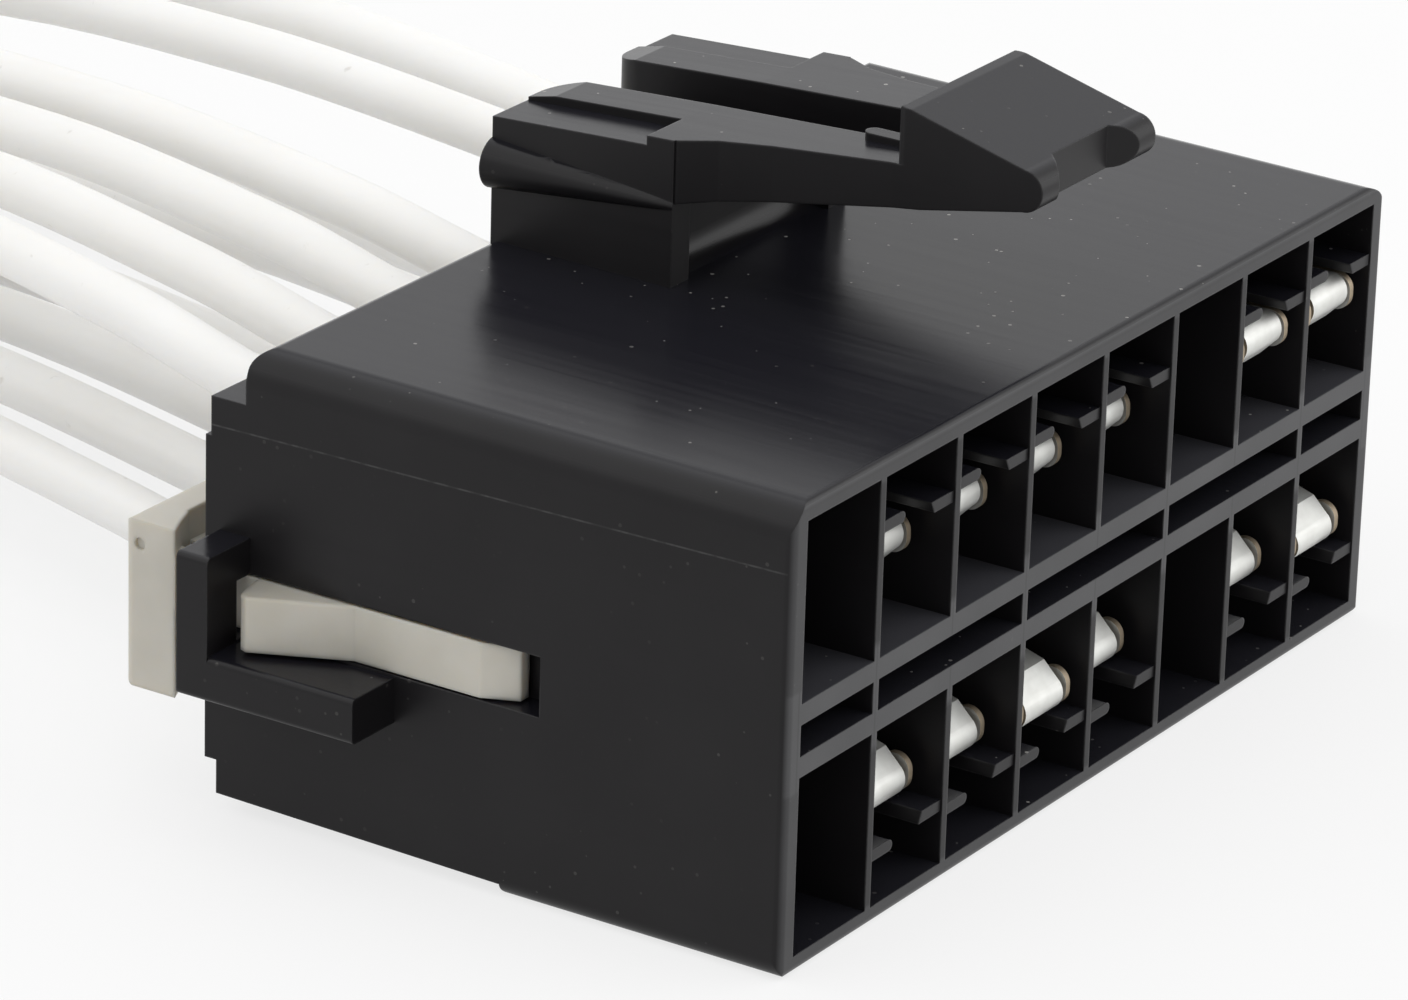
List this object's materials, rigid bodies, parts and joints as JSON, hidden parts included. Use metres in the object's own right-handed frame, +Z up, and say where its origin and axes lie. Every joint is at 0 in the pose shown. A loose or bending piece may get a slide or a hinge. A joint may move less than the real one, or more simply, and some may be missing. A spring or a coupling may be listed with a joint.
{
  "type": "switch connector",
  "caption": "Rectangular two-row receptacle housing with a top latch arm, a rear slide-in terminal lock, folded spring terminals and white leads, to plug onto the blades of a panel switch.",
  "frame": {"origin": "middle of the mating face, where the front rim's plane meets the centre line between the two rows", "axes": "+X along the rows, to the right as one looks at the mating face; +Y back from the mating face towards the leads; +Z up, towards the latch"},
  "size_m": [0.0715, 0.181, 0.0328],
  "materials": {
    "housing_black": "satin moulded, lightly dusty",
    "lock_beige": "satin moulded",
    "terminal_tin": "bright tin plating, bare brass on the cut edges",
    "lead_white": "smooth extruded insulation"
  },
  "bodies": {
    "connector": {"housing": "housing_black", "terminal_top_2": "terminal_tin", "terminal_top_3": "terminal_tin", "terminal_top_4": "terminal_tin", "terminal_top_5": "terminal_tin", "terminal_top_7": "terminal_tin", "terminal_top_8": "terminal_tin", "terminal_low_2": "terminal_tin", "terminal_low_3": "terminal_tin", "terminal_low_4": "terminal_tin", "terminal_low_5": "terminal_tin", "terminal_low_7": "terminal_tin", "terminal_low_8": "terminal_tin", "wire_top_2": "lead_white", "wire_top_3": "lead_white", "wire_top_4": "lead_white", "wire_top_5": "lead_white", "wire_top_7": "lead_white", "wire_top_8": "lead_white", "wire_low_2": "lead_white", "wire_low_3": "lead_white", "wire_low_4": "lead_white", "wire_low_5": "lead_white", "wire_low_7": "lead_white", "wire_low_8": "lead_white"},
    "lock": {"secondary_lock": "lock_beige"}
  },
  "joints": [
    {"name": "lock_slide", "type": "slide", "parent": "connector", "child": "lock", "axis": [0, 1, 0], "range_m": [0, 0.0006]}
  ]
}
